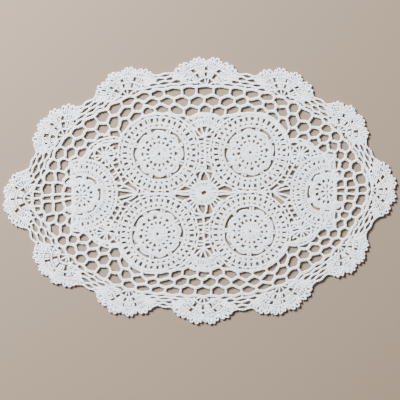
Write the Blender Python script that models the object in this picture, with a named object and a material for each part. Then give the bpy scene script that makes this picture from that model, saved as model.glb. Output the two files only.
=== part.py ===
"""An oval crocheted cotton doily, lying flat.

The doily is worked in one piece, so it is one lace sheet with its open meshes cut through.
Metres, +Z up. The underside lies on z = 0, the long way runs along X, and the origin is
the middle of the box round the sheet.
"""

import bpy
from bisect import bisect_right
from math import atan2, cos, degrees, hypot, pi, radians, sin
from mathutils.geometry import delaunay_2d_cdt

MM = 0.001

SHEET_THICK = 2.0 * MM
CORD_WIDE = 3.4 * MM             # one chain of the net, as wide as it lies

# The oval line where the open net ends and the closed border starts
NET_HALF_LONG = 188.0 * MM
NET_HALF_SHORT = 124.3 * MM
BORDER_DEEP = 15.0 * MM          # from that line to the edge between two scallops
BORDER_SHARE = 0.1               # of the oval, from the net to where the edge's pull is whole

NET_DEEPEST = 75.0 * MM          # no part of the open net is as deep as this
HALVINGS = 24                    # when the net's depth is searched
NET_ROUNDS = 3
NET_CELLS = 60                   # cells in one round, a narrow one at each end of the oval
END_CELL_WIDE = 0.6              # of a usual cell
STAGGER = 0.45                   # of a cell, how far the middle round is moved along
STAGGER_RUN = 3.0                # cells from the oval's end to the full stagger
HOLE_SHAPE = 0.7                 # 1 gives round meshes, 0 gives square ones
HOLE_POINTS = 8

# Inner edge of the net over one quarter, seen from the middle of the pattern
NET_START = (
    # degrees, radius in mm
    (0.0, 149.5),
    (12.0, 149.0),
    (18.5, 144.0),
    (23.0, 136.0),
    (27.0, 127.0),
    (30.0, 120.0),
    (35.0, 112.5),
    (42.0, 114.5),
    (52.0, 111.0),
    (61.0, 105.0),
    (70.0, 96.5),
    (79.0, 87.5),
    (90.0, 89.0),
)

# How the lace was laid by hand: two rows for each scallop, at its middle and at the
# valley after it, anticlockwise from the right-hand end
AS_LAID = (
    # net pulled out, edge pulled out and both moved along, all in mm
    (-1.0, 0.9, 3.5),
    (-3.0, 0.5, 2.5),
    (-2.2, -1.0, -2.5),
    (-3.0, 0.8, -7.0),
    (-1.0, 0.5, -8.0),
    (-2.2, 0.2, -6.5),
    (-2.6, -0.5, -2.5),
    (-2.4, 0.5, 2.5),
    (-1.2, 0.4, 6.0),
    (-4.0, -1.6, 8.5),
    (-3.8, -0.5, 10.0),
    (-5.5, 1.5, 11.0),
    (-3.2, 10.0, 7.0),
    (-1.2, 9.5, 1.5),
    (-0.8, 6.5, -2.0),
    (-0.8, 3.0, -5.0),
    (-0.8, 0.5, -5.0),
    (-5.5, -5.0, -4.0),
    (-7.0, -5.5, -1.0),
    (-5.5, -2.5, 2.0),
    (-4.5, -4.5, 7.0),
    (-8.0, -5.8, 10.5),
    (-8.0, -6.8, 8.5),
    (-7.5, -4.0, 5.0),
)
PULL_FADE = 3.0                  # power of the distance from the middle
SCALLOPS = 12

# One scallop is a fan: an oval arc round its foot, with rounded lobes and small loops
FAN_DEEP = 31.9 * MM
FAN_HALF_WIDE = 39.4 * MM
FAN_LOBES = (
    # from degrees, to degrees, loops, notch in mm
    (-67.0, -38.0, 3, 2.6),
    (-38.0, 0.0, 4, 3.2),
    (0.0, 38.0, 4, 3.2),
    (38.0, 67.0, 3, 2.6),
)
LOOP_HIGH = 1.3 * MM
LOOP_SHOULDER = 0.27             # of a loop's width, in from its two ends
VALLEY_POINTS = 3

# Slits left between the closed rounds, in each valley
SLIT_LONG = 11.0 * MM
SLIT_WIDE = 2.1 * MM
SLIT_SLANT = 0.3                 # of half its length, how far its corners are moved along
VALLEY_SLITS = (
    # along in mm, out from the net in mm
    (-7.5, 4.2),
    (7.5, 4.2),
    (-7.5, 11.4),
    (7.5, 11.4),
)

# A gap pointed at both ends, in parts of its length and width
LEAF = ((-0.5, 0.0), (-0.2, -0.5), (0.2, -0.5), (0.5, 0.0), (0.2, 0.5), (-0.2, 0.5))

# Four round medallions: middle and the turn of their slits
MEDALLIONS = (
    # x mm, y mm, turn in degrees
    (-50.2, 45.0, 0.0),
    (52.4, 46.7, 8.0),
    (-52.4, -47.3, 10.0),
    (52.4, -45.0, 18.0),
)
MEDALLION_SLITS = 8
MEDALLION_SLIT_RADIUS = 28.0 * MM
MEDALLION_SLIT_WIDE = 2.6 * MM
MEDALLION_SLIT_ANGLE = 25.0      # degrees from end to end

# Two half medallions at the ends, their flat sides outwards
HALF_MEDALLION_X = 141.4 * MM
HALF_SLIT_RADIUS = 21.0 * MM
HALF_SLIT_ANGLES = (-52.0, 0.0, 52.0)
HALF_SLIT_ANGLE = 29.0           # degrees from end to end

# Threads drawn together round the flower in the middle
FLOWER_HOLE_LONG = 5.2 * MM
FLOWER_HOLE_WIDE = 3.8 * MM
FLOWER_SIDES = (
    # degrees, middle of the gaps from the flower's middle in mm
    (0.0, 25.0),
    (90.0, 18.0),
    (180.0, 25.0),
    (270.0, 18.0),
)
FLOWER_GAP_STEP = 4.6 * MM
FLOWER_GAP_LONG = 9.6 * MM
FLOWER_GAP_WIDE = 3.0 * MM

# Gaps round the half flowers and at the joinings, over one quarter or one half
TOP_FLOWER_GAPS = (
    # x mm, y mm, length mm, width mm, degrees
    (-4.2, 69.5, 10.0, 3.2, 98.0),
    (5.0, 69.0, 9.0, 3.4, 78.0),
    (-11.0, 79.0, 7.0, 3.0, 140.0),
    (11.0, 79.0, 7.0, 3.0, 40.0),
)
CORNER_GAPS = (
    # x mm, y mm, length mm, width mm, degrees
    (107.0, 38.5, 9.5, 4.6, 55.0),
    (109.0, 53.5, 8.0, 4.0, 20.0),
)
JOINING_GAPS = (
    # x mm, y mm, length mm, width mm, degrees
    (88.0, 5.0, 12.5, 5.4, 160.0),
    (88.0, -5.0, 11.0, 4.6, 20.0),
)
# Cells of the net's first round that the corner flowers take the place of
CORNER_CELLS = (23, 24, 53)

COTTON_WHITE = (0.86, 0.85, 0.84, 1.0)
COTTON_ROUGHNESS = 0.85


class Oval:
    """An ellipse walked by length, anticlockwise from +X, with one turn as 1."""

    STEPS = 1440

    def __init__(self, half_long, half_short):
        self.half_long = half_long
        self.half_short = half_short
        self.angles = [2 * pi * step / self.STEPS for step in range(self.STEPS + 1)]
        self.lengths = [0.0]
        for here, there in zip(self.angles, self.angles[1:]):
            along_x = half_long * (cos(there) - cos(here))
            along_y = half_short * (sin(there) - sin(here))
            self.lengths.append(self.lengths[-1] + hypot(along_x, along_y))

    def angle(self, turn):
        length = (turn % 1.0) * self.lengths[-1]
        step = min(bisect_right(self.lengths, length), self.STEPS) - 1
        share = (length - self.lengths[step]) / (self.lengths[step + 1] - self.lengths[step])
        return self.angles[step] + share * (self.angles[step + 1] - self.angles[step])

    def point(self, turn, out=0.0):
        """The point at this turn, moved out square to the line."""
        angle = self.angle(turn)
        normal_x, normal_y = self.outward(turn)
        x = self.half_long * cos(angle) + out * normal_x
        y = self.half_short * sin(angle) + out * normal_y
        return x, y

    def outward(self, turn):
        angle = self.angle(turn)
        slope_x = cos(angle) / self.half_long
        slope_y = sin(angle) / self.half_short
        size = hypot(slope_x, slope_y)
        return slope_x / size, slope_y / size


NET_EDGE = Oval(NET_HALF_LONG, NET_HALF_SHORT)


def read_table(rows, place):
    """Straight-line reading of a table of (place, value) rows."""
    for (low, low_value), (high, high_value) in zip(rows, rows[1:]):
        if place <= high:
            return low_value + (high_value - low_value) * (place - low) / (high - low)
    return rows[-1][1]


def round_table(rows, place, column):
    """Smooth reading of a column of a table that runs round the doily."""
    count = len(rows)
    row = int(place // 1)
    share = place - row
    before, low, high, after = (rows[(row + step) % count][column] for step in (-1, 0, 1, 2))
    bend = 2 * before - 5 * low + 4 * high - after
    twist = 3 * (low - high) + after - before
    return low + 0.5 * share * (high - before + share * (bend + share * twist))


def net_start_radius(angle):
    quarter = degrees(angle) % 180.0
    quarter = min(quarter, 180.0 - quarter)
    return read_table(NET_START, quarter) * MM


def net_deep(turn):
    """Depth of the open net at this turn, square to its outer line."""
    edge_x, edge_y = NET_EDGE.point(turn)
    normal_x, normal_y = NET_EDGE.outward(turn)
    low, high = 0.0, NET_DEEPEST
    for _ in range(HALVINGS):
        middle = 0.5 * (low + high)
        x = edge_x - middle * normal_x
        y = edge_y - middle * normal_y
        if hypot(x, y) > net_start_radius(atan2(y, x)):
            low = middle
        else:
            high = middle
    return low


def cell_turn(cell):
    """Turn at a place counted in cells, the two end cells being narrow ones."""
    half = NET_CELLS / 2
    spare = 1.0 - END_CELL_WIDE
    whole = half - spare

    def width_to(place):
        near = min(max(place, 0.0), 0.5)
        far = min(max(place - (half - 0.5), 0.0), 0.5)
        return place - spare * (near + far)

    lap, place = divmod(cell, half)
    return 0.5 * (lap + width_to(place) / whole)


def net_point(cell, level):
    """A place in the net: level 0 is its inner edge and level 1 its outer line."""
    turn = cell_turn(cell)
    return NET_EDGE.point(turn, -(1.0 - level) * net_deep(turn))


def row_shift(cell, row):
    """How far a round's posts are moved along, in cells."""
    if row != 1:
        return 0.0
    half = NET_CELLS / 2
    from_end = min(cell % half, half - cell % half)
    side = -1.0 if (cell % NET_CELLS) < half else 1.0
    return side * STAGGER * min(1.0, from_end / STAGGER_RUN)


def squarish(angle):
    """A point of the rounded square that the meshes follow."""
    across, up = cos(angle), sin(angle)
    x = abs(across) ** HOLE_SHAPE * (1 if across > 0 else -1)
    y = abs(up) ** HOLE_SHAPE * (1 if up > 0 else -1)
    return x, y


def net_hole(cell, row):
    left = cell - 0.5
    right = cell + 0.5
    left += row_shift(left, row)
    right += row_shift(right, row)
    middle = 0.5 * (left + right)
    level = (row + 0.5) / NET_ROUNDS
    turn = cell_turn(middle)
    high = net_deep(turn) / NET_ROUNDS
    left_x, left_y = net_point(left, level)
    right_x, right_y = net_point(right, level)
    wide = hypot(right_x - left_x, right_y - left_y)
    reach_along = 0.5 * (right - left) * (1.0 - CORD_WIDE / wide)
    reach_up = 0.5 / NET_ROUNDS * (1.0 - CORD_WIDE / high)
    points = []
    for corner in range(HOLE_POINTS):
        x, y = squarish(2 * pi * (corner + 0.5) / HOLE_POINTS)
        points.append(net_point(middle + reach_along * x, level + reach_up * y))
    return points


def leaf(x, y, long, wide, tilt):
    """A gap pointed at both ends, like one between two threads."""
    points = []
    for along, across in LEAF:
        across *= wide
        along *= long
        points.append((
            x + along * cos(tilt) - across * sin(tilt),
            y + along * sin(tilt) + across * cos(tilt),
        ))
    return points


def arc_slit(x, y, radius, wide, middle, spread):
    """A curved slit round a middle, pointed at both ends."""
    points = []
    for along, across in LEAF:
        turn = middle + along * spread
        reach = radius + across * wide
        points.append((x + reach * cos(turn), y + reach * sin(turn)))
    return points


def valley_slit(valley, along, out):
    """A short slit lying along the border, four-sided."""
    lap = NET_EDGE.lengths[-1]
    half_turn = 0.5 * SLIT_LONG / lap
    turn = valley + along / lap
    places = (
        (-half_turn, 0.0), (SLIT_SLANT * half_turn, -0.5),
        (half_turn, 0.0), (-SLIT_SLANT * half_turn, 0.5),
    )
    return [NET_EDGE.point(turn + step, out + across * SLIT_WIDE) for step, across in places]


def net_holes():
    for row in range(NET_ROUNDS):
        for cell in range(NET_CELLS):
            if row == 0 and cell in CORNER_CELLS:
                continue
            yield net_hole(cell, row)


def border_holes():
    for scallop in range(SCALLOPS):
        valley = (scallop + 0.5) / SCALLOPS
        for along, out in VALLEY_SLITS:
            yield valley_slit(valley, along * MM, out * MM)


def medallion_holes():
    for x, y, turn in MEDALLIONS:
        for slit in range(MEDALLION_SLITS):
            middle = radians(turn) + 2 * pi * slit / MEDALLION_SLITS
            yield arc_slit(x * MM, y * MM, MEDALLION_SLIT_RADIUS, MEDALLION_SLIT_WIDE,
                           middle, radians(MEDALLION_SLIT_ANGLE))
    for side in (-1, 1):
        for slit in HALF_SLIT_ANGLES:
            middle = radians(slit) + (pi if side > 0 else 0.0)
            yield arc_slit(side * HALF_MEDALLION_X, 0.0, HALF_SLIT_RADIUS,
                           MEDALLION_SLIT_WIDE, middle, radians(HALF_SLIT_ANGLE))


def flower_holes():
    yield leaf(0.0, 0.0, FLOWER_HOLE_LONG, FLOWER_HOLE_WIDE, 0.0)
    for side, reach in FLOWER_SIDES:
        tilt = radians(side)
        for step in (-1, 0, 1):
            x = reach * MM * cos(tilt) - step * FLOWER_GAP_STEP * sin(tilt)
            y = reach * MM * sin(tilt) + step * FLOWER_GAP_STEP * cos(tilt)
            yield leaf(x, y, FLOWER_GAP_LONG, FLOWER_GAP_WIDE, tilt)


def joining_holes():
    for x, y, long, wide, tilt in TOP_FLOWER_GAPS:
        yield leaf(x * MM, y * MM, long * MM, wide * MM, radians(tilt))
        yield leaf(x * MM, -y * MM, long * MM, wide * MM, radians(-tilt))
    for x, y, long, wide, tilt in CORNER_GAPS:
        for side_x, side_y in ((1, 1), (-1, 1), (-1, -1), (1, -1)):
            yield leaf(side_x * x * MM, side_y * y * MM, long * MM, wide * MM,
                       radians(side_x * side_y * tilt))
    for x, y, long, wide, tilt in JOINING_GAPS:
        for side in (-1, 1):
            yield leaf(side * x * MM, y * MM, long * MM, wide * MM, radians(side * tilt))


def fan_radius(angle):
    return 1.0 / hypot(cos(angle) / FAN_DEEP, sin(angle) / FAN_HALF_WIDE)


def scallop_edge(scallop):
    """One fan's edge: each lobe is a row of small loops."""
    turn = scallop / SCALLOPS
    foot_x, foot_y = NET_EDGE.point(turn)
    normal_x, normal_y = NET_EDGE.outward(turn)
    facing = atan2(normal_y, normal_x)
    for start, end, loops, notch in FAN_LOBES:
        for loop in range(loops):
            for share, rise in ((0.0, 0.0), (LOOP_SHOULDER, 1.0), (1.0 - LOOP_SHOULDER, 1.0)):
                along = (loop + share) / loops
                angle = radians(start + (end - start) * along)
                fall = notch * MM * abs(2.0 * along - 1.0) ** 3
                reach = fan_radius(angle) - fall + (rise - 1.0) * LOOP_HIGH
                yield (foot_x + reach * cos(facing + angle),
                       foot_y + reach * sin(facing + angle))


def valley_edge(scallop):
    """The plain stretch of border after a scallop."""
    turn = (scallop + 0.5) / SCALLOPS
    for step in range(VALLEY_POINTS):
        along = (step - 0.5 * (VALLEY_POINTS - 1)) * SLIT_LONG / 2
        yield NET_EDGE.point(turn + along / NET_EDGE.lengths[-1], BORDER_DEEP)


def sheet_edge():
    points = []
    for scallop in range(SCALLOPS):
        points.extend(scallop_edge(scallop))
        points.extend(valley_edge(scallop))
    return points


def as_laid(point):
    """The lace as it lies: each scallop pulled out and along a little by hand."""
    x, y = point
    angle = atan2(y / NET_HALF_SHORT, x / NET_HALF_LONG)
    distance = hypot(x / NET_HALF_LONG, y / NET_HALF_SHORT)
    step = bisect_right(NET_EDGE.angles, angle % (2 * pi)) - 1
    turn = NET_EDGE.lengths[step] / NET_EDGE.lengths[-1]
    place = turn * len(AS_LAID)
    net_pull, edge_pull, along = (round_table(AS_LAID, place, column) for column in range(3))
    past_net = min(max((distance - 1.0) / BORDER_SHARE, 0.0), 1.0)
    fade = min(distance, 1.0) ** PULL_FADE
    out = (net_pull + (edge_pull - net_pull) * past_net) * fade * MM
    along *= fade * MM
    normal_x, normal_y = NET_EDGE.outward(turn)
    return x + out * normal_x - along * normal_y, y + out * normal_y + along * normal_x


def doily_outlines():
    """The outer edge and every hole, as they lie, with the middle of the box at zero."""
    holes = list(net_holes())
    holes.extend(border_holes())
    holes.extend(medallion_holes())
    holes.extend(flower_holes())
    holes.extend(joining_holes())
    loops = [[as_laid(point) for point in loop] for loop in [sheet_edge()] + holes]
    middle_x = 0.5 * (min(x for x, _ in loops[0]) + max(x for x, _ in loops[0]))
    middle_y = 0.5 * (min(y for _, y in loops[0]) + max(y for _, y in loops[0]))
    return [[(x - middle_x, y - middle_y) for x, y in loop] for loop in loops]


def area(loop):
    """Signed area, positive where the loop runs anticlockwise."""
    return 0.5 * sum(x * next_y - next_x * y
                     for (x, y), (next_x, next_y) in zip(loop, loop[1:] + loop[:1]))


def lace_sheet(name, loops, thick):
    """A flat sheet from its outer edge and holes: two faces and the walls between."""
    corners = []
    rings = []
    for loop in loops:
        wanted = 1.0 if not rings else -1.0
        if area(loop) * wanted < 0.0:
            loop = loop[::-1]
        rings.append(list(range(len(corners), len(corners) + len(loop))))
        corners.extend(loop)
    flat, _, triangles = delaunay_2d_cdt(corners, [], rings, 2, 1e-9)[:3]
    if len(flat) != len(corners):
        raise ValueError("two of the lace's holes cross")
    count = len(flat)
    top = [tuple(face) for face in triangles]
    bottom = [tuple(count + corner for corner in reversed(face)) for face in top]
    edges = {(face[side], face[(side + 1) % 3]) for face in top for side in range(3)}
    walls = []
    for here, there in sorted(edges):
        if (there, here) not in edges:
            walls.append((there, here, count + here, count + there))
    points = [(x, y, thick) for x, y in flat] + [(x, y, 0.0) for x, y in flat]
    mesh = bpy.data.meshes.new(name)
    mesh.from_pydata(points, [], top + bottom + walls)
    mesh.update()
    sheet = bpy.data.objects.new(name, mesh)
    bpy.context.scene.collection.objects.link(sheet)
    return sheet


def cotton():
    material = bpy.data.materials.new("white_cotton")
    material.use_nodes = True
    shader = material.node_tree.nodes["Principled BSDF"]
    shader.inputs["Base Color"].default_value = COTTON_WHITE
    shader.inputs["Roughness"].default_value = COTTON_ROUGHNESS
    shader.inputs["Metallic"].default_value = 0.0
    return material


def clear_scene():
    for old in list(bpy.data.objects):
        bpy.data.objects.remove(old, do_unlink=True)


clear_scene()
doily = lace_sheet("doily", doily_outlines(), SHEET_THICK)
doily.data.materials.append(cotton())
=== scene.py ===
"""Looks of the crocheted doily: every stitch as twisted thread, on a plain pale table."""

import bpy
import numpy as np
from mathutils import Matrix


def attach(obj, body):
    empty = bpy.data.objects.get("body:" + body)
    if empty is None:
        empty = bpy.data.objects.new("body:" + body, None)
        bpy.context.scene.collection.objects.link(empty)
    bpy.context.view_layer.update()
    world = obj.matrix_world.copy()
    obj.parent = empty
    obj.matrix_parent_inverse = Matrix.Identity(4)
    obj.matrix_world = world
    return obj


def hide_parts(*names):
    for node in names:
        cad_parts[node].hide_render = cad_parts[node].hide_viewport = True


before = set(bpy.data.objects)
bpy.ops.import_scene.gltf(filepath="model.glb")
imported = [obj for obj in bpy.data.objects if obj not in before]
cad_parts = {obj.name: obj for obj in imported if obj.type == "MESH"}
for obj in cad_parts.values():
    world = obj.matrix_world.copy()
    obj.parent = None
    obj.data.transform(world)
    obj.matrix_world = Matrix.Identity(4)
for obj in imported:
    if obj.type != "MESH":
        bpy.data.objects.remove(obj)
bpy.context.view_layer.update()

MM = 0.001
UP = np.array([0.0, 0.0, 1.0])
rng = np.random.default_rng(27)

# The oval line where the open net ends and the closed border starts, in mm
NET_HALF_LONG = 188.0
NET_HALF_SHORT = 124.3
NET_DEEPEST = 75.0
NET_SEARCH_STEPS = 24
NET_ROUNDS = 3
NET_CELLS = 60
END_CELL_WIDE = 0.6
STAGGER = 0.45
STAGGER_RUN = 3.0
BORDER_SHARE = 0.1
PULL_FADE = 3.0
WOBBLE = 0.4
SCALLOPS = 12

# Middle of the pattern, from the middle of the box round the doily, in mm
PATTERN_MIDDLE = np.array([4.53, -2.42])

# Inner edge of the net over one quarter, seen from the middle of the pattern
NET_START = np.array((
    # degrees, radius in mm
    (0.0, 149.5),
    (12.0, 149.0),
    (18.5, 144.0),
    (23.0, 136.0),
    (27.0, 127.0),
    (30.0, 120.0),
    (35.0, 112.5),
    (42.0, 114.5),
    (52.0, 111.0),
    (61.0, 105.0),
    (70.0, 96.5),
    (79.0, 87.5),
    (90.0, 89.0),
))

# How the lace was laid by hand: two rows for each scallop, anticlockwise from the right
AS_LAID = np.array((
    # net pulled out, edge pulled out and both moved along, all in mm
    (-1.0, 0.9, 3.5),
    (-3.0, 0.5, 2.5),
    (-2.2, -1.0, -2.5),
    (-3.0, 0.8, -7.0),
    (-1.0, 0.5, -8.0),
    (-2.2, 0.2, -6.5),
    (-2.6, -0.5, -2.5),
    (-2.4, 0.5, 2.5),
    (-1.2, 0.4, 6.0),
    (-4.0, -1.6, 8.5),
    (-3.8, -0.5, 10.0),
    (-5.5, 1.5, 11.0),
    (-3.2, 10.0, 7.0),
    (-1.2, 9.5, 1.5),
    (-0.8, 6.5, -2.0),
    (-0.8, 3.0, -5.0),
    (-0.8, 0.5, -5.0),
    (-5.5, -5.0, -4.0),
    (-7.0, -5.5, -1.0),
    (-5.5, -2.5, 2.0),
    (-4.5, -4.5, 7.0),
    (-8.0, -5.8, 10.5),
    (-8.0, -6.8, 8.5),
    (-7.5, -4.0, 5.0),
))

# One scallop: an oval arc round its foot, with rounded lobes and small loops
FAN_DEEP = 31.9
FAN_HALF_WIDE = 39.4
FAN_LOBES = (
    # from degrees, to degrees, loops, notch in mm
    (-67.0, -38.0, 3, 3.8),
    (-38.0, 0.0, 4, 6.2),
    (0.0, 38.0, 4, 6.2),
    (38.0, 67.0, 3, 3.8),
)
LOOP_HIGH = 5.2

# Thread and stitches, in mm
THREAD = 1.12
CHAIN_WIDE = 3.2
CHAIN_LIFT = 0.48
CHAIN_PERIOD = 10.0
CHAIN_STEPS = 8
POST_WIDE = 2.4
POST_LIFT = 0.38
POST_PITCH = 4.4
POST_STEP = 1.0
MIDDLE_HIGH = 1.12
LIE_HIGH = 0.09
UNEVEN = 0.22
TUBE_SIDES = 4

# Points along a round, and how uneven its heads are, as a share of the gap between posts
ROUND_POINTS = 240
HEADS_UNEVEN = 0.06


def polar(angle, reach):
    """Points at these angles in radians and distances from a middle."""
    angle, reach = np.broadcast_arrays(angle, reach)
    return np.stack([reach * np.cos(angle), reach * np.sin(angle)], -1)


def unit(vectors):
    return vectors / np.maximum(np.linalg.norm(vectors, axis=-1, keepdims=True), 1e-9)


def aside(vectors):
    """Flat vectors turned a quarter to the left."""
    return np.stack([-vectors[..., 1], vectors[..., 0]], -1)


class Oval:
    """An ellipse walked by length, anticlockwise from +X, with one turn as 1."""

    STEPS = 1440

    def __init__(self, half_long, half_short):
        self.half = np.array([half_long, half_short])
        self.angles = np.linspace(0.0, 2 * np.pi, self.STEPS + 1)
        corners = self.half * polar(self.angles, 1.0)
        steps = np.linalg.norm(np.diff(corners, axis=0), axis=1)
        self.lengths = np.concatenate([[0.0], np.cumsum(steps)])
        self.lap = self.lengths[-1]

    def outward(self, turn):
        angle = np.interp(np.mod(turn, 1.0) * self.lap, self.lengths, self.angles)
        return unit(polar(angle, 1.0) / self.half)

    def point(self, turn, out=0.0):
        """The point at this turn, moved out square to the line."""
        angle = np.interp(np.mod(turn, 1.0) * self.lap, self.lengths, self.angles)
        return self.half * polar(angle, 1.0) + np.asarray(out)[..., None] * self.outward(turn)


NET_EDGE = Oval(NET_HALF_LONG, NET_HALF_SHORT)


def as_laid(points):
    """Places in the pattern, in mm, moved to where the lace lies on the table."""
    points = np.asarray(points, float)
    scaled = points / NET_EDGE.half
    angle = np.mod(np.arctan2(scaled[..., 1], scaled[..., 0]), 2 * np.pi)
    distance = np.linalg.norm(scaled, axis=-1)
    turn = np.interp(angle, NET_EDGE.angles, NET_EDGE.lengths) / NET_EDGE.lap
    place = turn * len(AS_LAID)
    row = np.floor(place).astype(int)
    share = (place - row)[..., None]
    before, low, high, after = (AS_LAID[(row + step) % len(AS_LAID)] for step in (-1, 0, 1, 2))
    # A smooth curve through the rows on both sides
    bend = 2 * before - 5 * low + 4 * high - after
    twist = 3 * (low - high) + after - before
    pulls = low + 0.5 * share * (high - before + share * (bend + share * twist))
    past_net = np.clip((distance - 1.0) / BORDER_SHARE, 0.0, 1.0)
    fade = np.minimum(distance, 1.0) ** PULL_FADE
    out = (pulls[..., 0] + (pulls[..., 1] - pulls[..., 0]) * past_net) * fade
    along = pulls[..., 2] * fade
    outward = NET_EDGE.outward(turn)
    moved = points + out[..., None] * outward + along[..., None] * aside(outward)
    x, y = moved[..., 0], moved[..., 1]
    # Small waves, 15 to 20 mm long
    wave_x = np.sin(0.43 * x + 1.3 * np.sin(0.31 * y))
    wave_y = np.sin(0.39 * y + 1.4 * np.sin(0.35 * x))
    return moved + WOBBLE * np.stack([wave_x, wave_y], -1) + PATTERN_MIDDLE


def net_start_radius(angle):
    quarter = np.mod(np.degrees(angle), 180.0)
    return np.interp(np.minimum(quarter, 180.0 - quarter), *NET_START.T)


def search_net_deep(turn):
    """Depth of the open net at these turns, square to its outer line."""
    low = np.zeros_like(turn)
    high = np.full_like(turn, NET_DEEPEST)
    for _ in range(NET_SEARCH_STEPS):
        middle = 0.5 * (low + high)
        points = NET_EDGE.point(turn, -middle)
        angle = np.arctan2(points[..., 1], points[..., 0])
        open_net = np.linalg.norm(points, axis=-1) > net_start_radius(angle)
        low = np.where(open_net, middle, low)
        high = np.where(open_net, high, middle)
    return low


def cell_turn(cell):
    """Turn at a place counted in cells, the two end cells being narrow ones."""
    half = NET_CELLS / 2
    spare = 1.0 - END_CELL_WIDE
    lap, place = np.divmod(cell, half)
    near = np.clip(place, 0.0, 0.5)
    far = np.clip(place - (half - 0.5), 0.0, 0.5)
    return 0.5 * (lap + (place - spare * (near + far)) / (half - spare))


def net_point(cell, level, out=0.0):
    """A place in the net: level 0 is its inner edge and level 1 its outer line."""
    turn = cell_turn(cell)
    return NET_EDGE.point(turn, out - (1.0 - level) * search_net_deep(turn))


def row_shift(cell, row):
    """How far a round's posts are moved along, in cells."""
    if row != 1:
        return np.zeros_like(cell)
    half = NET_CELLS / 2
    from_end = np.minimum(np.mod(cell, half), half - np.mod(cell, half))
    side = np.where(np.mod(cell, NET_CELLS) < half, -1.0, 1.0)
    return side * STAGGER * np.minimum(1.0, from_end / STAGGER_RUN)


def resample(path, count, closed=False):
    """A path as this many points equally far apart."""
    if closed:
        path = np.concatenate([path, path[:1]])
    lengths = np.concatenate([[0.0], np.cumsum(np.linalg.norm(np.diff(path, axis=0), axis=1))])
    places = np.linspace(0.0, lengths[-1], count, endpoint=not closed)
    return np.stack([np.interp(places, lengths, path[:, axis]) for axis in (0, 1)], -1)


def lie(points):
    """Height that the lace is lifted by here: no thread lies quite flat."""
    x, y = points[..., 0], points[..., 1]
    wave = np.sin(0.19 * x + 1.7 * np.sin(0.11 * y)) + np.sin(0.23 * y + 1.3 * np.sin(0.07 * x))
    return LIE_HIGH * (2.0 + wave)


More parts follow.
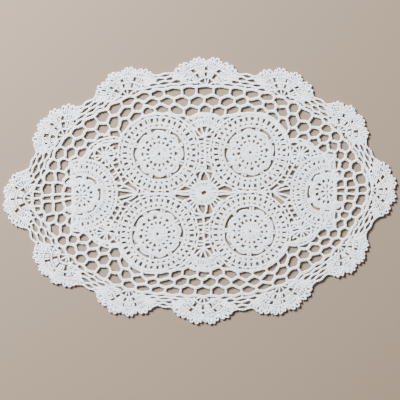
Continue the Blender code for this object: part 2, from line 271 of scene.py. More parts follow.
class Yarn:
    """Threads gathered for one piece of the doily, in mm."""

    def __init__(self):
        self.points = []
        self.quads = []
        self.places = []
        self.count = 0

    def threads(self, lines, thick, closed=False):
        """Tubes along lines of equally many points: an array of lines, points and xyz."""
        if closed:
            along = np.roll(lines, -1, 1) - np.roll(lines, 1, 1)
        else:
            along = np.gradient(lines, axis=1)
        along = unit(along)
        side = unit(np.cross(UP, along))
        over = np.cross(along, side)
        round_turn = 2 * np.pi * np.arange(TUBE_SIDES)[:, None] / TUBE_SIDES
        ring = np.cos(round_turn) * side[:, :, None] + np.sin(round_turn) * over[:, :, None]
        points = lines[:, :, None] + 0.5 * thick * ring
        lanes, steps = lines.shape[:2]
        index = self.count + np.arange(lanes * steps * TUBE_SIDES).reshape(lanes, steps, TUBE_SIDES)
        here = index if closed else index[:, :-1]
        there = np.roll(index, -1, 1) if closed else index[:, 1:]
        quads = np.stack([here, np.roll(here, -1, 2), np.roll(there, -1, 2), there], -1)
        gaps = np.linalg.norm(np.diff(lines, axis=1, append=lines[:, :1]), axis=2)
        far = np.cumsum(gaps, axis=1)
        near = far - gaps
        if not closed:
            near, far = near[:, :-1], far[:, :-1]
        near, far = (np.repeat(value[:, :, None], TUBE_SIDES, 2) for value in (near, far))
        low = np.broadcast_to(np.arange(TUBE_SIDES) / TUBE_SIDES, near.shape)
        high = low + 1.0 / TUBE_SIDES
        places = np.stack([near, low, near, high, far, high, far, low], -1)
        self.points.append(points.reshape(-1, 3))
        self.quads.append(quads.reshape(-1, 4))
        self.places.append(places.reshape(-1, 4, 2))
        if not closed:
            for end in (index[:, 0, ::-1], index[:, -1]):
                self.quads.append(end)
                self.places.append(np.zeros((lanes, TUBE_SIDES, 2)))
        self.count += points.reshape(-1, 3).shape[0]

    def chain(self, path, closed=False, wide=CHAIN_WIDE, thick=THREAD):
        """A row of chain stitches: three strands plaited along a path in the pattern."""
        line = as_laid(path)
        ends = np.roll(line, -1, 0) if closed else line[1:]
        length = np.linalg.norm(ends - line[:len(ends)], axis=1).sum()
        periods = max(1, round(length / CHAIN_PERIOD))
        steps = periods * CHAIN_STEPS
        flat = resample(line, steps if closed else steps + 1, closed)
        if closed:
            along = unit(np.roll(flat, -1, 0) - np.roll(flat, 1, 0))
        else:
            along = unit(np.gradient(flat, axis=0))
        start = rng.random()
        phase = 2 * np.pi * (np.arange(len(flat)) / CHAIN_STEPS + start + np.arange(3)[:, None] / 3)
        sway = 0.5 * (wide - thick) * np.sin(phase)
        rise = MIDDLE_HIGH + lie(flat) + CHAIN_LIFT * np.sin(2 * phase)
        lines = np.concatenate([flat + sway[..., None] * aside(along), rise[..., None]], -1)
        self.threads(lines, thick, closed)

    def posts(self, feet, heads, wide=POST_WIDE, thick=THREAD, strands=2, step=POST_STEP):
        """Tall stitches: two strands wound round each other from each foot to its head."""
        feet, heads = as_laid(feet), as_laid(heads)
        feet = feet + UNEVEN * rng.standard_normal(feet.shape)
        heads = heads + UNEVEN * rng.standard_normal(heads.shape)
        span = heads - feet
        length = np.linalg.norm(span, axis=-1)
        steps = max(2, int(np.ceil(length.mean() / step)))
        share = np.linspace(0.0, 1.0, steps + 1)
        flat = feet[:, None] + share[:, None] * span[:, None]
        across = aside(unit(span))[:, None]
        start = rng.random(len(feet))
        turns = share * length[:, None] / POST_PITCH + start[:, None]
        for strand in range(strands):
            phase = 2 * np.pi * (turns + strand / 2)
            sway = 0.5 * (wide - thick) * np.cos(phase)
            rise = MIDDLE_HIGH + lie(flat) + POST_LIFT * np.sin(phase)
            lines = np.concatenate([flat + sway[..., None] * across, rise[..., None]], -1)
            self.threads(lines, thick)

    def piece(self, name):
        """The threads as one mesh object."""
        points = np.concatenate(self.points) * MM
        quads = np.concatenate(self.quads).astype(np.int32)
        places = np.concatenate(self.places)
        mesh = bpy.data.meshes.new(name)
        mesh.vertices.add(len(points))
        mesh.vertices.foreach_set("co", points.ravel())
        mesh.loops.add(quads.size)
        mesh.loops.foreach_set("vertex_index", quads.ravel())
        mesh.polygons.add(len(quads))
        mesh.polygons.foreach_set("loop_start", np.arange(0, quads.size, 4, dtype=np.int32))
        mesh.uv_layers.new(name="Thread").uv.foreach_set("vector", places.astype(np.float32).ravel())
        mesh.update(calc_edges=True)
        mesh.shade_smooth()
        made = bpy.data.objects.new(name, mesh)
        bpy.context.scene.collection.objects.link(made)
        return made


def worked_rounds(yarn, place, table, start, end, closed=False,
                  wide=CHAIN_WIDE, post_wide=POST_WIDE):
    """Rounds of stitches: place gives a point of the pattern for an angle and a reach."""
    span = end - start
    for groups, posts, foot, head, foot_spread, head_spread, arches, arch, chain in table:
        if groups:
            pitch = span / groups
            middles = start + pitch * (np.arange(groups) + 0.5)
            lean = np.linspace(-0.5, 0.5, posts) if posts > 1 else np.zeros(1)
            foot_angle = (middles[:, None] + pitch * foot_spread * lean).ravel()
            head_angle = (middles[:, None] + pitch * head_spread * lean).ravel()
            head_angle += HEADS_UNEVEN * pitch / posts * rng.standard_normal(len(head_angle))
            drop = arch_drop(head_angle, start, span, arches, arch)
            yarn.posts(place(foot_angle, foot), place(head_angle, head - drop), wide=post_wide)
        if chain:
            angles = np.linspace(start, end, ROUND_POINTS, endpoint=not closed)
            drop = arch_drop(angles, start, span, arches, arch)
            yarn.chain(place(angles, chain - drop), closed, wide)


def arch_drop(angle, start, span, arches, deep):
    """How far a round dips between its arches."""
    if not arches:
        return 0.0
    share = np.mod((angle - start) / span * arches, 1.0)
    return deep * (2.0 * share - 1.0) ** 2


def plain_ring(reach):
    """A round of chain without posts, with the fields of a table of rounds."""
    return 0, 0, 0.0, 0.0, 0.0, 0.0, 0, 0.0, reach


def medallion_place(middle):
    return lambda angle, reach: np.asarray(middle) + polar(angle, reach)


MEDALLIONS = (
    # x mm, y mm, turn in degrees
    (-50.2, 45.0, 0.0),
    (52.4, 46.7, 8.0),
    (-52.4, -47.3, 10.0),
    (52.4, -45.0, 18.0),
)
MEDALLION_ROUNDS = (
    # groups, posts, foot, head, foot spread, head spread, arches, arch deep, chain radius
    plain_ring(3.0),
    (24, 1, 3.6, 9.6, 0.0, 0.0, 0, 0.0, 10.4),
    (16, 2, 11.8, 15.0, 0.0, 0.3, 0, 0.0, 16.2),
    (16, 4, 17.8, 24.4, 0.1, 0.75, 8, 4.4, 25.9),
    (34, 2, 31.6, 34.4, 0.3, 0.3, 0, 0.0, 30.6),
    (38, 2, 36.8, 41.2, 0.3, 0.3, 0, 0.0, 35.4),
)
MEDALLION_EDGE_ROUNDS = (
    (32, 2, 42.9, 45.6, 0.3, 0.3, 0, 0.0, 42.1),
    plain_ring(46.3),
)
MEDALLION_EDGE = 46.6
MEDALLION_EDGE_WIDE = 2.3
SLITS = 8

# Bars between the slits, and one post under the middle of each arch: radii and width in mm
BAR_LEANS = (-0.05, 0.05)
BAR_FOOT = 20.9
BAR_HEAD = 28.6
BAR_WIDE = 2.8
ARCH_POST_FOOT = 20.6
ARCH_POST_HEAD = 24.2
ARCH_POST_WIDE = 2.4


def make_medallion(number, x, y, turn):
    yarn = Yarn()
    # A slit lies over the middle of each arch
    start = np.radians(turn) - np.pi / SLITS
    end = start + 2 * np.pi
    place = medallion_place((x, y))
    worked_rounds(yarn, place, MEDALLION_ROUNDS, start, end, closed=True)
    worked_rounds(yarn, place, MEDALLION_EDGE_ROUNDS, start, end, closed=True, wide=MEDALLION_EDGE_WIDE)
    joins = start + 2 * np.pi * np.arange(SLITS) / SLITS
    for lean in BAR_LEANS:
        yarn.posts(place(joins + lean, BAR_FOOT), place(joins + lean, BAR_HEAD), wide=BAR_WIDE)
    middles = joins + np.pi / SLITS
    yarn.posts(place(middles, ARCH_POST_FOOT), place(middles, ARCH_POST_HEAD), wide=ARCH_POST_WIDE)
    return yarn.piece(f"medallion_{number}")


def fan_radius(angle):
    return 1.0 / np.hypot(np.cos(angle) / FAN_DEEP, np.sin(angle) / FAN_HALF_WIDE)


# How far out the feet of the two end scallops lie at their middle, and where they come back, in mm
FEET_OUT = {0: 2.5, 6: 4.5}
FEET_RUN = 36.0


def fan_foot_out(scallop, across):
    """How far the foot line of a scallop lies outside the net at this distance from its middle."""
    return FEET_OUT.get(scallop, 0.0) * np.clip(1.0 - (across / FEET_RUN) ** 2, 0.0, 1.0)


def fan_place(scallop):
    turn = np.array(scallop / SCALLOPS)
    foot = NET_EDGE.point(turn)
    outward = NET_EDGE.outward(turn)

    def place(angle, share):
        out, across = np.moveaxis(polar(angle, share * fan_radius(angle)), -1, 0)
        out = out + fan_foot_out(scallop, across) * (1.0 - out / FAN_DEEP)
        return foot + out[..., None] * outward + across[..., None] * aside(outward)

    return place


FAN_ROUNDS = (
    # half angle, then groups, posts, foot, head, foot spread, head spread, arches, arch deep, chain
    (80.0, (4, 1, 0.04, 0.22, 0.0, 0.0, 0, 0.0, 0.26)),
    (86.0, (4, 4, 0.3, 0.43, 0.5, 0.56, 0, 0.0, 0.47)),
    (84.0, (4, 6, 0.51, 0.62, 0.65, 0.69, 0, 0.0, 0.66)),
)
FAN_ASKEW = 0.05
FAN_WIDE = 2.6
FAN_POST_WIDE = 2.0

# Posts beside the outer lobes, in degrees, from one share of the way to the rim to another
SHOULDERS = (69.0, 72.0, 75.0, 78.0)
SHOULDER_FOOT = 0.6
SHOULDER_HEAD = 0.9

# Stitches of a lobe, as shares of the way to the rim, and their widths in mm
LOBE_FOOT = 0.7
LOBE_INNER_HEAD = 0.78
LOBE_CHAIN = 0.81
LOBE_OUTER_FOOT = 0.84
LOBE_FEET_SPREAD = 0.9
LOBE_POST_WIDE = 1.9
LOBE_CHAIN_WIDE = 2.4

# The looped rim and the posts that end inside it, in mm
RIM_IN = 1.1
RIM_POSTS_IN = 3.0
RIM_WIDE = 2.1
LOOP_POINTS = 12
LOOP_BLUNT = 0.8

# The chain and bars under the end scallops, in mm
FOOT_LINE_HALF = 30.0
FOOT_LINE_OUT = 1.6
FOOT_BARS = np.arange(-27.0, 28.0, 9.0)
FOOT_BAR_START = 0.6
FOOT_BAR_END = 0.8
FOOT_WIDE = 2.8


def notch_fall(notch, share):
    """How far a lobe falls back towards its two ends."""
    return notch * np.abs(2.0 * share - 1.0) ** 3


def work_feet(yarn, number):
    """The chain and bars between the net and a scallop that lies further out."""
    across = np.linspace(-FOOT_LINE_HALF, FOOT_LINE_HALF, 40)
    turns = number / SCALLOPS + across / NET_EDGE.lap
    yarn.chain(NET_EDGE.point(turns, FOOT_LINE_OUT + fan_foot_out(number, across)), wide=FOOT_WIDE)
    across = FOOT_BARS + rng.standard_normal(len(FOOT_BARS))
    turns = number / SCALLOPS + across / NET_EDGE.lap
    heads = NET_EDGE.point(turns, FOOT_BAR_END + fan_foot_out(number, across))
    yarn.posts(NET_EDGE.point(turns, FOOT_BAR_START), heads, wide=FOOT_WIDE)


def make_scallop(number):
    yarn = Yarn()
    place = fan_place(number)
    for spread, row in FAN_ROUNDS:
        askew = FAN_ASKEW * rng.standard_normal()
        spread = np.radians(spread)
        worked_rounds(yarn, place, (row,), askew - spread, askew + spread,
                      wide=FAN_WIDE, post_wide=FAN_POST_WIDE)
    rim = []
    for start, end, loops, notch in FAN_LOBES:
        start, end = np.radians((start, end))
        posts = 2 * loops
        lean = (np.arange(posts) + 0.5) / posts
        feet = start + (end - start) * (0.5 + LOBE_FEET_SPREAD * (lean - 0.5))
        heads = start + (end - start) * lean
        yarn.posts(place(feet, LOBE_FOOT), place(heads, LOBE_INNER_HEAD), wide=LOBE_POST_WIDE)
        rim_share = 1.0 - (notch_fall(notch, lean) + RIM_POSTS_IN) / fan_radius(heads)
        yarn.posts(place(heads, LOBE_OUTER_FOOT), place(heads, rim_share), wide=LOBE_POST_WIDE)
        along = np.linspace(0.05, 0.95, 20)
        angle = start + (end - start) * along
        fall = notch_fall(0.5 * notch, along)
        yarn.chain(place(angle, LOBE_CHAIN - fall / fan_radius(angle)), wide=LOBE_CHAIN_WIDE)
        along = np.linspace(0.0, 1.0, loops * LOOP_POINTS, endpoint=False)
        angle = start + (end - start) * along
        dip = LOOP_HIGH * (1.0 - np.abs(np.sin(np.pi * along * loops)) ** LOOP_BLUNT)
        rim.append(place(angle, 1.0 - (notch_fall(notch, along) + dip + RIM_IN) / fan_radius(angle)))
    yarn.chain(np.concatenate(rim), wide=RIM_WIDE)
    shoulders = np.radians(SHOULDERS)
    for side in (-1, 1):
        yarn.posts(place(side * shoulders, SHOULDER_FOOT), place(side * shoulders, SHOULDER_HEAD))
    if number in FEET_OUT:
        work_feet(yarn, number)
    return yarn.piece(f"scallop_{number + 1}")


# The net's chains and bars, thicker than the other stitches, in mm
NET_CHAIN_WIDE = 3.6
NET_CHAIN_THICK = 1.25
NET_POST_WIDE = 3.2
NET_POST_THICK = 1.35
NET_PULL = 0.8
CELL_POINTS = 12
CELL_UNEVEN = 0.05

# Short threads that round a cell's corners: along in cells, the others in mm
CORNER_SHARE = 0.13
CORNER_FOOT = 1.4
CORNER_DEEP = 3.2
CORNER_THICK = 1.5
CORNER_STEP = 2.0


def make_net():
    yarn = Yarn()
    cells = np.linspace(0.0, NET_CELLS, NET_CELLS * CELL_POINTS, endpoint=False)
    for line in range(NET_ROUNDS + 1):
        pull = np.zeros_like(cells)
        for row, side in ((line - 1, -1.0), (line, 1.0)):
            if 0 <= row < NET_ROUNDS:
                pull += side * NET_PULL * np.cos(2 * np.pi * (cells - 0.5 - row_shift(cells, row)))
        yarn.chain(net_point(cells, line / NET_ROUNDS, pull), closed=True,
                   wide=NET_CHAIN_WIDE, thick=NET_CHAIN_THICK)
    for row in range(NET_ROUNDS):
        cell = np.arange(NET_CELLS) + 0.5
        cell = cell + row_shift(cell, row)
        cell = cell + CELL_UNEVEN * rng.standard_normal(len(cell))
        low, high = row / NET_ROUNDS, (row + 1) / NET_ROUNDS
        yarn.posts(net_point(cell, low, 1.0), net_point(cell, high, -1.0),
                   wide=NET_POST_WIDE, thick=NET_POST_THICK)
        for lean in (-CORNER_SHARE, CORNER_SHARE):
            for level, way in ((low, 1.0), (high, -1.0)):
                feet = net_point(cell + lean, level, CORNER_FOOT * way)
                heads = net_point(cell, level, CORNER_DEEP * way)
                yarn.posts(feet, heads, wide=CORNER_THICK, thick=CORNER_THICK, strands=1, step=CORNER_STEP)
    work_border(yarn)
    return yarn.piece("net")


# The border's chains, by their distance out from the net, and its short bars, in mm
BORDER_LINES = (3.5, 7.0, 10.5, 13.8)
BORDER_WIDE = 2.5
BORDER_REACH = 0.9
BORDER_CLIMB = 1.6
BORDER_POST_GAP = 12.5
BORDER_POST_UNEVEN = 0.6
BORDER_POST_TUCK = 0.6
BORDER_END = 2.0
BORDER_BOW = 0.5
VALLEY_HALF_WIDE = 9.0
FLANK_ANGLE = 62.0


def across_edge(point):
    """A point as its turn on the net's outer line and its distance out from that line."""
    turns = np.linspace(0.0, 1.0, 2880, endpoint=False)
    gaps = point - NET_EDGE.point(turns)
    near = np.argmin((gaps ** 2).sum(-1))
    return turns[near], (gaps[near] * NET_EDGE.outward(turns[near])).sum()


def border_line(valley, number):
    """One chain of the border, up the flank of the scallop at each end: along and out in mm."""
    middle = (valley + 0.5) / SCALLOPS
    level = BORDER_LINES[number]
    ends = []
    for scallop, side in ((valley, 1), (valley + 1, -1)):
        share = level / BORDER_LINES[-1] * BORDER_REACH
        turn, out = across_edge(fan_place(scallop)(side * np.radians(FLANK_ANGLE), share))
        along = (np.mod(turn - middle + 0.5, 1.0) - 0.5) * NET_EDGE.lap
        ends.append((along, out))
    along = np.linspace(ends[0][0], ends[1][0], 60)
    reach, top = np.where(along[:, None] < 0, ends[0], ends[1]).T
    climb = np.clip((np.abs(along) - VALLEY_HALF_WIDE) / (np.abs(reach) - VALLEY_HALF_WIDE), 0.0, 1.0)
    wave = np.cos(2 * np.pi * (along / BORDER_POST_GAP - 0.5 * (number % 2)))
    return along, level + (top - level) * climb ** BORDER_CLIMB - BORDER_BOW * wave


def work_border(yarn):
    for valley in range(SCALLOPS):
        middle = (valley + 0.5) / SCALLOPS
        below = np.array([-100.0, 100.0]), np.zeros(2)
        for number in range(len(BORDER_LINES)):
            along, out = border_line(valley, number)
            yarn.chain(NET_EDGE.point(middle + along / NET_EDGE.lap, out), wide=BORDER_WIDE)
            places = BORDER_POST_GAP * (np.arange(-5, 6) + 0.5 * (number % 2))
            places = places + BORDER_POST_UNEVEN * rng.standard_normal(len(places))
            places = places[(places > along[0] + BORDER_END) & (places < along[-1] - BORDER_END)]
            turns = middle + places / NET_EDGE.lap
            yarn.posts(NET_EDGE.point(turns, np.interp(places, *below) + BORDER_POST_TUCK),
                       NET_EDGE.point(turns, np.interp(places, along, out) - BORDER_POST_TUCK))
            below = along, out


HALF_ROUNDS = (
    # groups, posts, foot, head, foot spread, head spread, arches, arch deep, chain radius
    plain_ring(2.4),
    (8, 2, 3.6, 8.2, 0.0, 0.3, 0, 0.0, 9.2),
    (13, 2, 10.6, 14.2, 0.1, 0.34, 0, 0.0, 15.2),
    (7, 7, 16.6, 19.2, 0.6, 0.85, 7, 4.4, 20.2),
    (64, 1, 26.2, 29.6, 0.0, 0.0, 0, 0.0, 24.8),
    (36, 2, 32.0, 36.0, 0.32, 0.32, 0, 0.0, 30.8),
    (64, 1, 37.6, 40.4, 0.0, 0.0, 0, 0.0, 37.2),
    plain_ring(41.4),
)


HALF_MEDALLION_EDGE = 43.5
HALF_MIDDLE = 141.4
HALF_STRETCH = np.array([1.0, 1.06])

# The rounds stop at a straight side, in mm from their middle, but the innermost ones are whole
HALF_CUT = 9.0
HALF_WHOLE = 9.5
HALF_SIDE = 150.6
HALF_SIDE_REACH = 42.0
PLAIN_PITCHES = 30

# Bars between the arches, as angles in radians and radii in mm
HALF_BAR_LEANS = (-0.09, 0.0, 0.09)
HALF_BAR_FOOT = 15.0
HALF_BAR_HEAD = 24.0


def make_half_medallion(side, name):
    yarn = Yarn()
    middle = np.array([side * HALF_MIDDLE, 0.0])
    facing = np.pi if side > 0 else 0.0

    def place(angle, reach):
        return middle + polar(facing + angle, reach) * HALF_STRETCH

    for row in HALF_ROUNDS:
        groups, arches, reach = row[0], row[6], row[8]
        if reach < HALF_WHOLE:
            worked_rounds(yarn, place, (row,), -np.pi, np.pi, closed=True)
            continue
        pitches = arches or groups or PLAIN_PITCHES
        cut = np.arccos(-HALF_CUT / reach)
        kept = 2 * round(0.5 * (pitches * cut / np.pi - 1.0)) + 1
        spread = np.pi * kept / pitches
        kept_row = (round(groups * kept / pitches),) + row[1:6] + (kept if arches else 0,) + row[7:]
        worked_rounds(yarn, place, (kept_row,), -spread, spread)
        if arches:
            joins = -spread + 2 * spread * np.arange(kept + 1) / kept
            for lean in HALF_BAR_LEANS:
                heads = place(joins + lean, HALF_BAR_HEAD)
                yarn.posts(place(joins + lean, HALF_BAR_FOOT), heads, wide=BAR_WIDE)
    edge = np.linspace(-HALF_SIDE_REACH, HALF_SIDE_REACH, 40)
    yarn.chain(np.stack([np.full(len(edge), side * HALF_SIDE), edge], -1))
    return yarn.piece(name)


CENTRE_ROUNDS = (
    # groups, posts, foot, head, foot spread, head spread, arches, arch deep, chain radius
    plain_ring(4.2),
    (28, 1, 5.0, 14.8, 0.0, 0.0, 0, 0.0, 15.8),
)
CENTRE_SHAPE = np.array([0.96, 0.82])
CENTRE_EDGE = 16.2

# Rays between the centre flower and its neighbours
RAY_FOOT = 17.0
RAY_WIDE = 2.8
CENTRE_RAYS = (
    # direction in degrees, reach in mm, and each ray's foot in degrees and bow in mm
    (0.0, 33.0, ((5.0, 1.2), (-6.0, -1.2))),
    (90.0, 26.0, ((18.0, 2.5), (-20.0, -3.0))),
    (180.0, 34.0, ((6.0, 1.2), (-6.0, -1.2))),
    (270.0, 27.0, ((-26.0, -3.5), (9.0, 1.5))),
)

# A chain and posts towards each medallion: half spreads in degrees, places as shares of the gap
ARC_SPREAD = 22.0
ARC_SHARE = 0.75
ARC_POST_SPREAD = 20.0
ARC_POSTS = 4
ARC_POST_FOOT = 14.4
ARC_POST_WIDE = 2.2


def make_centre_flower():
    yarn = Yarn()

    def place(angle, reach):
        return polar(angle, reach) * CENTRE_SHAPE

    worked_rounds(yarn, place, CENTRE_ROUNDS, 0.0, 2 * np.pi, closed=True)
    for side, reach, rays in CENTRE_RAYS:
        meet = polar(np.radians(side), reach)
        for lean, bow in rays:
            foot = place(np.radians(side + lean), RAY_FOOT)
            middle = 0.5 * (foot + meet) + bow * polar(np.radians(side + 90.0), 1.0)
            yarn.chain(bowed(foot, middle, meet), wide=RAY_WIDE)
    for x, y, _ in MEDALLIONS:
        towards = np.arctan2(y, x)
        apart = np.hypot(x, y)
        spread = np.radians(np.linspace(-ARC_SPREAD, ARC_SPREAD, 24))
        yarn.chain(polar(towards + spread, mid_gap(spread, apart, ARC_SHARE)), wide=RAY_WIDE)
        spread = np.radians(np.linspace(-ARC_POST_SPREAD, ARC_POST_SPREAD, ARC_POSTS))
        heads = polar(towards + spread, mid_gap(spread, apart, 1.0))
        yarn.posts(polar(towards + spread, ARC_POST_FOOT), heads, wide=ARC_POST_WIDE)
    return yarn.piece("centre_flower")


def mid_gap(spread, apart, share):
    """A reach between the centre flower and the edge of a medallion, at an angle from its middle."""
    edge = apart * np.cos(spread) - np.sqrt(MEDALLION_EDGE ** 2 - (apart * np.sin(spread)) ** 2)
    return CENTRE_EDGE + share * (edge - CENTRE_EDGE)


def bowed(start, bow, end, count=16):
    """A smooth line from start to end, drawn towards bow."""
    share = np.linspace(0.0, 1.0, count)[:, None]
    return (1 - share) ** 2 * start + 2 * share * (1 - share) * bow + share ** 2 * end


HALF_FLOWERS = (
    # name, base x and y in mm, direction in degrees
    ("top_flower", 0.0, 63.8, 90.0),
    ("bottom_flower", 0.0, -63.8, -90.0),
)
HALF_FLOWER_ROUNDS = (
    # groups, posts, foot, head, foot spread, head spread, arches, arch deep, chain radius
    plain_ring(14.0),
    (17, 1, 14.6, 20.2, 0.0, 0.0, 0, 0.0, 20.8),
    (9, 2, 22.2, 26.6, 0.36, 0.4, 0, 0.0, 27.8),
)

# The rounds' half spread and the spread with all their groups, and the legs below them, in degrees
HALF_FLOWER_SPREAD = 70.0
HALF_FLOWER_WHOLE = 132.0
LEG_LEANS = (-48.0, -17.0, 14.0, 46.0)
LEG_REACH = 14.0
LEG_BOW_REACH = 8.0
LEG_BOW_LEAN = 1.15
LEG_WIDE = 2.5
CORNER_FLOWERS = (
    # name, base x and y in mm, direction in degrees, rim in mm
    ("corner_flower_1", 103.7, 34.0, 56.0, 31.0),
    ("corner_flower_2", -103.7, 34.0, 124.0, 34.5),
    ("corner_flower_3", -103.7, -34.0, -124.0, 31.0),
    ("corner_flower_4", 103.7, -34.0, -56.0, 33.0),
)
PETALS = 11
PETAL_FOOT = 0.9
PETAL_RING = 11.2
PETAL_WIDE = 2.4
PETAL_THICK = 1.2
PETALS_UNEVEN = 0.08
FLOWER_MIDDLE_SHARE = 0.43
FLOWER_CHAIN_WIDE = 2.5

# Short ties round the ring, and the arcs beside the net by their depth inside the rim, in mm
TIES = 13
TIE_LONG = 4.2
TIE_WIDE = 2.0
ARC_HALF_SPREAD = 75.0
ARCS_IN = (1.4, 5.4)
ARC_TIES = 9


def make_half_flower(name, x, y, direction):
    yarn = Yarn()
    base = np.array([x, y])

    def place(angle, reach):
        return base + polar(np.radians(direction) + angle, reach)

    for lean in np.radians(LEG_LEANS):
        end = place(lean, LEG_REACH)
        if clear_of_rounds(end):
            yarn.chain(bowed(base, place(LEG_BOW_LEAN * lean, LEG_BOW_REACH), end), wide=LEG_WIDE)
    angles = np.radians(np.linspace(-HALF_FLOWER_SPREAD, HALF_FLOWER_SPREAD, 281))
    for row in HALF_FLOWER_ROUNDS:
        free = angles[clear_of_rounds(place(angles, row[8] - 2.0))]
        kept = (free[-1] - free[0]) / np.radians(HALF_FLOWER_WHOLE)
        worked_rounds(yarn, place, ((round(row[0] * kept),) + row[1:],), free[0], free[-1])
    return yarn.piece(name)


def make_corner_flower(name, x, y, direction, rim):
    """A small round flower of long petals, with arcs on the side of the net."""
    yarn = Yarn()
    base = np.array([x, y])
    outward = np.radians(direction)
    middle = base + polar(outward, FLOWER_MIDDLE_SHARE * rim)

    def place(angle, reach):
        return middle + polar(outward + angle, reach)

    def from_base(angle, reach):
        return base + polar(outward + angle, reach)

    turns = 2 * np.pi * (np.arange(PETALS) + 0.5) / PETALS + PETALS_UNEVEN * rng.standard_normal(PETALS)
    yarn.posts(place(turns, PETAL_FOOT), place(turns, PETAL_RING - 0.8), wide=PETAL_WIDE, thick=PETAL_THICK)
    ring = place(np.linspace(0.0, 2 * np.pi, 60, endpoint=False), PETAL_RING)
    yarn.chain(ring, closed=True, wide=FLOWER_CHAIN_WIDE)
    ties = 2 * np.pi * np.arange(TIES) / TIES
    ties = ties[clear_of_rounds(place(ties, PETAL_RING + 2.0))]
    yarn.posts(place(ties, PETAL_RING + 0.6), place(ties, PETAL_RING + TIE_LONG), wide=TIE_WIDE)
    angles = np.radians(np.linspace(-ARC_HALF_SPREAD, ARC_HALF_SPREAD, 281))
    for inside in ARCS_IN:
        reach = rim - inside
        free = angles[clear_of_rounds(from_base(angles, reach))]
        worked_rounds(yarn, from_base, (plain_ring(reach),), free[0], free[-1], wide=FLOWER_CHAIN_WIDE)
    free = angles[clear_of_rounds(from_base(angles, rim - 3.4))]
    leans = np.linspace(free[0], free[-1], ARC_TIES)
    yarn.posts(from_base(leans, rim - 4.8), from_base(leans, rim - 1.8), wide=TIE_WIDE)
    return yarn.piece(name)


def clear_of_rounds(points):
    """Whether points lie outside the medallions and half medallions."""
    middles = [(x, y, MEDALLION_EDGE) for x, y, _ in MEDALLIONS]
    middles += [(side * HALF_MIDDLE, 0.0, HALF_MEDALLION_EDGE) for side in (-1, 1)]
    clear = np.full(points.shape[:-1], True)
    for x, y, edge in middles:
        clear &= np.linalg.norm(points - np.array([x, y]), axis=-1) > edge - 1.5
    return clear


# Joints of two round pieces: gap from bar to bar, width, and the narrowest gap with bars, in mm
JOIN_GAP = 5.0
JOIN_WIDE = 2.8
JOIN_BARS_FROM = 3.0
JOIN_FEET_UNEVEN = 0.6
JOIN_HEADS_UNEVEN = 1.1


def join_rounds(yarn, middle_a, edge_a, middle_b, edge_b, low, high,
                gap=JOIN_GAP, wide=JOIN_WIDE):
    """The chain and short bars that join two round pieces, between two places along the joint."""
    middle_a, middle_b = np.array(middle_a), np.array(middle_b)
    apart = np.linalg.norm(middle_b - middle_a)
    forward = (middle_b - middle_a) / apart
    across = aside(forward)

    def side_a(place):
        return np.sqrt(edge_a ** 2 - place ** 2)

    def side_b(place):
        return apart - np.sqrt(edge_b ** 2 - place ** 2)

    def point(reach, place):
        return middle_a + reach[:, None] * forward + place[:, None] * across

    line = np.linspace(low, high, 40)
    yarn.chain(point(0.5 * (side_a(line) + side_b(line)), line), wide=wide)
    bars = np.arange(low + 1.5, high - 1.0, gap)
    for places, start in ((bars, side_a), (bars + 0.5 * gap, side_b)):
        places = places[side_b(places) - side_a(places) > JOIN_BARS_FROM]
        if len(places):
            half = 0.5 * (side_a(places) + side_b(places))
            places = places + JOIN_FEET_UNEVEN * rng.standard_normal(len(places))
            heads = places + JOIN_HEADS_UNEVEN * rng.standard_normal(len(places))
            yarn.posts(point(start(places), places), point(half, heads), wide=wide)


# The chain above and below the centre flower: start, bow and end in mm
DRAWN_CHAIN = np.array(((-12.0, 22.0), (1.0, 29.5), (14.0, 22.0)))
DRAWN_CHAIN_WIDE = 3.0

# Joints of the medallions: two numbers of medallions, from and to along the joint in mm
MEDALLION_JOINTS = (
    (0, 1, -19.0, 20.0, 4.4, 3.3),
    (2, 3, -20.0, 19.0, JOIN_GAP, JOIN_WIDE),
    (0, 2, -26.0, 20.0, JOIN_GAP, JOIN_WIDE),
    (1, 3, -20.0, 26.0, JOIN_GAP, JOIN_WIDE),
)
HALF_JOINT_SHORT = 16.0
HALF_JOINT_LONG = 26.0
HALF_JOINT_GAP = 6.4
HALF_JOINT_WIDE = 2.3

# Threads that meet beside the half medallions: side, and the place where they meet in mm
MEETINGS = (
    (-1, 76.0, 0.0),
    (1, 78.7, 1.0),
)
MEETING_THREADS = (
    # lean at the meeting and place on the half medallion, in degrees
    (-42.0, 20.0),
    (-14.0, 7.0),
    (14.0, -7.0),
    (42.0, -20.0),
)
MEETING_BOW = 9.0
MEETING_END = 42.5
MEETING_WIDE = 2.6


def make_links():
    """Threads drawn together beside the half medallions, and the joinings of the round pieces."""
    yarn = Yarn()
    spots = [(x, y) for x, y, _ in MEDALLIONS]
    for way in (1, -1):
        yarn.chain(bowed(*(DRAWN_CHAIN * (1, way))), wide=DRAWN_CHAIN_WIDE)
    for first, second, low, high, gap, wide in MEDALLION_JOINTS:
        join_rounds(yarn, spots[first], MEDALLION_EDGE, spots[second], MEDALLION_EDGE, low, high, gap, wide)
    for number, side, way in ((0, -1, 1), (2, -1, -1), (1, 1, 1), (3, 1, -1)):
        low, high = -HALF_JOINT_LONG, HALF_JOINT_SHORT
        if side * way < 0:
            low, high = -HALF_JOINT_SHORT, HALF_JOINT_LONG
        join_rounds(yarn, (side * HALF_MIDDLE, 0.0), HALF_MEDALLION_EDGE, spots[number], MEDALLION_EDGE,
                    low, high, HALF_JOINT_GAP, HALF_JOINT_WIDE)
    for side, x, y in MEETINGS:
        meet = np.array([side * x, y])
        facing = 0.0 if side > 0 else np.pi
        for lean, rim in MEETING_THREADS:
            bow = meet + polar(facing + np.radians(lean), MEETING_BOW)
            end = np.array([side * HALF_MIDDLE, 0.0]) + polar(facing + np.pi + np.radians(rim), MEETING_END)
            yarn.chain(bowed(meet, bow, end), wide=MEETING_WIDE)
    return yarn.piece("links")


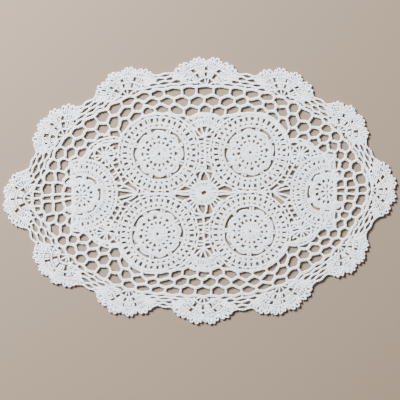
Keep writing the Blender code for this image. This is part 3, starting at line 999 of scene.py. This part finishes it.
class Socket:
    """One value in a material's nodes, worked with as in a formula."""

    def __init__(self, tree, link):
        self.tree = tree
        self.link = link

    def node(self, kind, settings=(), sockets=(), output=0):
        """A new node: its settings first, then the values or links of its sockets."""
        made = self.tree.nodes.new(kind)
        for name, value in dict(settings).items():
            setattr(made, name, value)
        for key, value in dict(sockets).items():
            put(self.tree, made.inputs[key], value)
        return Socket(self.tree, made.outputs[output])

    def output(self, name):
        """Another output of the node that this value comes from."""
        return Socket(self.tree, self.link.node.outputs[name])

    def maths(self, operation, *values):
        return self.node("ShaderNodeMath", {"operation": operation}, dict(enumerate(values)))

    def sine(self):
        return self.maths("SINE", self)

    def __add__(self, other):
        return self.maths("ADD", self, other)

    def __mul__(self, other):
        return self.maths("MULTIPLY", self, other)

    __radd__ = __add__
    __rmul__ = __mul__


def put(tree, socket, value):
    """Link a value to a node's socket, or set the plain number there."""
    if isinstance(value, Socket):
        tree.links.new(value.link, socket)
    else:
        socket.default_value = value


# Plies of the thread: turns for a mm along it and for one way round it, and radians for a turn
PLY_TWIST = 2.4
PLIES = 3.0
TURN = 6.2832
TINTS = (
    (0.82, 0.83, 0.86, 1.0),
    (0.89, 0.89, 0.90, 1.0),
)


def cotton_thread():
    material = bpy.data.materials.new("cotton_thread")
    material.use_nodes = True
    tree = material.node_tree
    shader = tree.nodes["Principled BSDF"]
    start = Socket(tree, None)
    spot = start.node("ShaderNodeTexCoord", output="Object")
    thread = start.node("ShaderNodeUVMap", {"uv_map": "Thread"})
    parts = start.node("ShaderNodeSeparateXYZ", sockets={0: thread})
    plies = ((parts.output("X") * PLY_TWIST + parts.output("Y") * PLIES) * TURN).sine()
    fibres = start.node("ShaderNodeTexNoise", sockets={"Vector": spot, "Scale": 2600.0, "Detail": 3.0})
    patches = start.node("ShaderNodeTexNoise", sockets={"Vector": spot, "Scale": 38.0, "Detail": 3.0})
    high = plies * 0.5 + fibres * 0.9
    bump = start.node("ShaderNodeBump", sockets={"Height": high, "Strength": 0.7, "Distance": 0.0002})
    # Sockets 0, 6 and 7 of a colour mix are its factor and two colours
    tint = start.node("ShaderNodeMix", {"data_type": "RGBA"}, {0: patches, 6: TINTS[0], 7: TINTS[1]}, 2)
    put(tree, shader.inputs["Base Color"], tint)
    put(tree, shader.inputs["Roughness"], 0.72 + fibres * 0.2)
    put(tree, shader.inputs["Normal"], bump)
    shader.inputs["Sheen Weight"].default_value = 0.25
    shader.inputs["Sheen Roughness"].default_value = 0.6
    shader.inputs["Specular IOR Level"].default_value = 0.3
    return material


# The table's half width and its top, in m
TABLE_HALF = 3.0
TABLE_TOP = -0.0002
TABLE_COLOUR = (0.175, 0.125, 0.085, 1.0)


def table_top():
    material = bpy.data.materials.new("plain_table")
    material.use_nodes = True
    shader = material.node_tree.nodes["Principled BSDF"]
    shader.inputs["Base Color"].default_value = TABLE_COLOUR
    shader.inputs["Roughness"].default_value = 0.7
    return material


def make_table():
    mesh = bpy.data.meshes.new("table")
    corners = [(-1, -1), (1, -1), (1, 1), (-1, 1)]
    mesh.from_pydata([(TABLE_HALF * x, TABLE_HALF * y, TABLE_TOP) for x, y in corners], [], [(0, 1, 2, 3)])
    table = bpy.data.objects.new("table", mesh)
    bpy.context.scene.collection.objects.link(table)
    table.data.materials.append(table_top())


LAMPS = (
    # name, place in m, turned in degrees, size in m, power in W
    ("window", (-1.35, 1.35, 1.1), (-60.0, 0.0, 45.0), 0.5, 350.0),
    ("fill", (0.9, -0.5, 1.8), (15.0, 26.0, 0.0), 2.0, 10.0),
)
LAMP_COLOUR = (0.95, 0.97, 1.0)
SKY_COLOUR = (0.92, 0.95, 1.0, 1.0)
SKY_STRENGTH = 0.18


def area_light(name, place, turned, size, power):
    light = bpy.data.lights.new(name, "AREA")
    light.size = size
    light.energy = power
    light.color = LAMP_COLOUR
    lamp = bpy.data.objects.new(name, light)
    lamp.location = place
    lamp.rotation_euler = np.radians(turned)
    bpy.context.scene.collection.objects.link(lamp)


def make_light():
    for row in LAMPS:
        area_light(*row)
    world = bpy.data.worlds.new("studio")
    world.use_nodes = True
    background = world.node_tree.nodes["Background"]
    background.inputs["Color"].default_value = SKY_COLOUR
    background.inputs["Strength"].default_value = SKY_STRENGTH
    bpy.context.scene.world = world


# The camera looks straight down: its place and the width that it sees on the table, in m
CAMERA_PLACE = (0.0, -0.0105, 1.8)
CAMERA_SEES = 0.456


def make_camera():
    camera = bpy.data.cameras.new("camera")
    camera.sensor_width = 36.0
    camera.lens = camera.sensor_width * CAMERA_PLACE[2] / CAMERA_SEES
    camera.clip_end = 20.0
    seen = bpy.data.objects.new("camera", camera)
    seen.location = CAMERA_PLACE
    bpy.context.scene.collection.objects.link(seen)
    bpy.context.scene.camera = seen


net = make_net()
pieces = [make_scallop(number) for number in range(SCALLOPS)]
pieces += [make_medallion(number + 1, *row) for number, row in enumerate(MEDALLIONS)]
pieces += [make_half_medallion(-1, "half_medallion_left"), make_half_medallion(1, "half_medallion_right")]
pieces += [make_centre_flower()]
pieces += [make_half_flower(*row) for row in HALF_FLOWERS]
pieces += [make_corner_flower(*row) for row in CORNER_FLOWERS]
pieces += [make_links()]

cotton = cotton_thread()
for piece in [net] + pieces:
    piece.data.materials.append(cotton)
    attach(piece, "root")
    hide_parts("doily")
make_table()
make_light()
make_camera()
